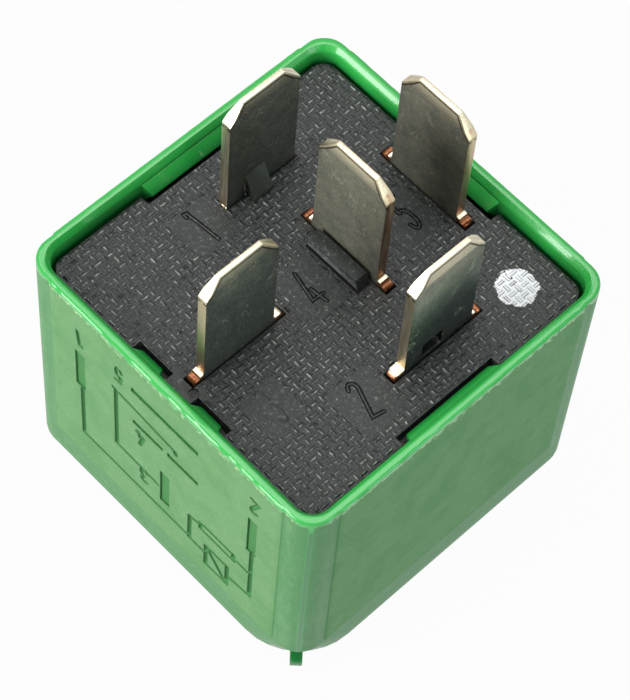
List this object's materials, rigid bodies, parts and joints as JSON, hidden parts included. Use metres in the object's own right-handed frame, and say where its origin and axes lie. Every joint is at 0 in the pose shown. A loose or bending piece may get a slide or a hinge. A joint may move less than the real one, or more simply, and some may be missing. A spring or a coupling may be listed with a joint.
{
  "type": "sealed plug-in changeover relay with five blade terminals",
  "caption": "A small sealed plug-in changeover relay: a green moulded case with a sunk wiring diagram, a grey base and five flat blades.",
  "frame": {"origin": "Centre of the outer face of the case's closed end.", "axes": "+Z runs from the closed end to the blade tips; the -Y wall carries the wiring diagram; +X is the wall to its right as it is read."},
  "size_m": [0.028, 0.028, 0.0349],
  "materials": {
    "green_plastic": "satin moulded thermoplastic with a fine grain",
    "grey_plastic": "glass-filled moulded plastic with a fine raised pattern",
    "plated_brass": "stamped brass with dull tin plate, bare at the cut edges",
    "plated_iron": "soft iron with dull nickel plate",
    "natural_plastic": "natural moulded nylon",
    "copper_wire": "enamelled copper wire",
    "spring_bronze": "rolled bronze strip",
    "contact_silver": "silver alloy contact rivet",
    "resistor_coat": "lacquered resistor body",
    "tinned_wire": "tinned copper wire"
  },
  "bodies": {
    "root": {"case": "green_plastic", "base": "grey_plastic", "terminal_86": "plated_brass", "terminal_85": "plated_brass", "terminal_30": "plated_brass", "terminal_87": "plated_brass", "terminal_87a": "plated_brass", "yoke": "plated_iron", "core": "plated_iron", "bobbin": "natural_plastic", "coil_winding": "copper_wire", "contact_no": "contact_silver", "contact_nc": "contact_silver", "spring_rivets": "plated_iron", "resistor_body": "resistor_coat", "resistor_leads": "tinned_wire"},
    "armature": {"armature": "plated_iron", "armature_rivets": "plated_iron", "moving_contact": "contact_silver", "contact_spring": "spring_bronze"}
  },
  "joints": [
    {"name": "armature_pivot", "type": "hinge", "parent": "root", "child": "armature", "pos_m": [0, -0.0103, 0.0072], "axis": [1, 0, 0], "range_deg": [0, 3], "stiffness_Nm_per_rad": 0.05, "springref_deg": -5.73, "deforming": ["contact_spring"]}
  ]
}
